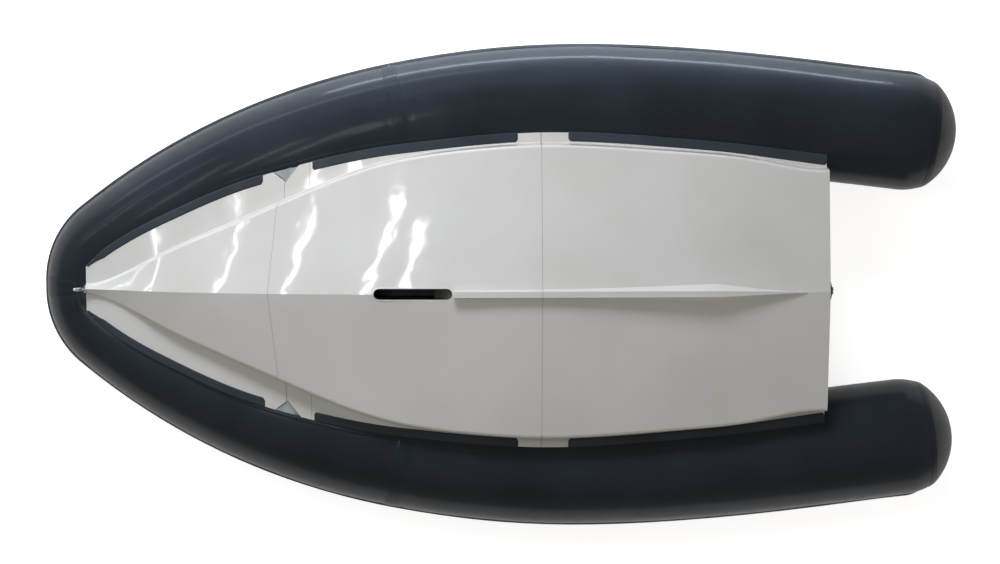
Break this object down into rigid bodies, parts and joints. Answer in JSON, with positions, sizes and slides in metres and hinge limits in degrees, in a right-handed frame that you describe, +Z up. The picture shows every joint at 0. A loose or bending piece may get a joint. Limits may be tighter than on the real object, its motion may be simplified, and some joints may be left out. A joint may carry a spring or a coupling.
{
  "type": "folding rigid inflatable tender",
  "caption": "Small rigid inflatable boat with a folding three-section hull and a U-shaped tube, stored keel up on its tubes.",
  "frame": {"origin": "on the floor under the middle of the boat's box, keel up", "axes": "+X aft, +Y to port, +Z up toward the keel, with the boat stored upside down and pitched 1.7 degrees as it comes to rest"},
  "size_m": [3.2907, 1.7392, 0.6206],
  "materials": {
    "gelcoat": "moulded white gelcoat",
    "deck_gelcoat": "moulded non-slip gelcoat",
    "tube_fabric": "coated tube fabric, dark blue-grey",
    "gusset_fabric": "pale grey coated fabric",
    "black_rubber": "moulded matt rubber",
    "black_plastic": "moulded black plastic",
    "stainless_steel": "polished stainless steel",
    "seat_board": "painted laminate board"
  },
  "bodies": {
    "root": {"bow_eye": "stainless_steel", "deck_aft_panel": "deck_gelcoat", "deck_bow_panel": "deck_gelcoat", "deck_hinge_bow": "black_rubber", "deck_hinge_main": "black_rubber", "deck_middle_panel": "deck_gelcoat", "flap_aft_port": "tube_fabric", "flap_aft_starboard": "tube_fabric", "flap_bow_port": "tube_fabric", "flap_bow_starboard": "tube_fabric", "flap_middle_port": "tube_fabric", "flap_middle_starboard": "tube_fabric", "fold_gusset_port": "gusset_fabric", "fold_gusset_starboard": "gusset_fabric", "grab_handle_aft_port": "black_plastic", "grab_handle_aft_starboard": "black_plastic", "grab_handle_bow_port": "black_plastic", "grab_handle_bow_starboard": "black_plastic", "hull_aft_section": "gelcoat", "hull_bow_section": "gelcoat", "hull_drain": "black_plastic", "hull_middle_section": "gelcoat", "keel_case": "black_plastic", "keel_case_cover": "black_plastic", "rowlock_base_port": "black_plastic", "rowlock_base_starboard": "black_plastic", "rub_strake": "black_rubber", "stern_cap_port": "black_rubber", "stern_cap_starboard": "black_rubber", "thwart": "seat_board", "thwart_rest_port": "black_rubber", "thwart_rest_starboard": "black_rubber", "transom": "gelcoat", "transom_clamp_pad": "black_plastic", "tube_bow_chamber": "tube_fabric", "tube_port_chamber": "tube_fabric", "tube_starboard_chamber": "tube_fabric", "valve_bow": "black_plastic", "valve_port": "black_plastic", "valve_starboard": "black_plastic"}
  },
  "joints": []
}
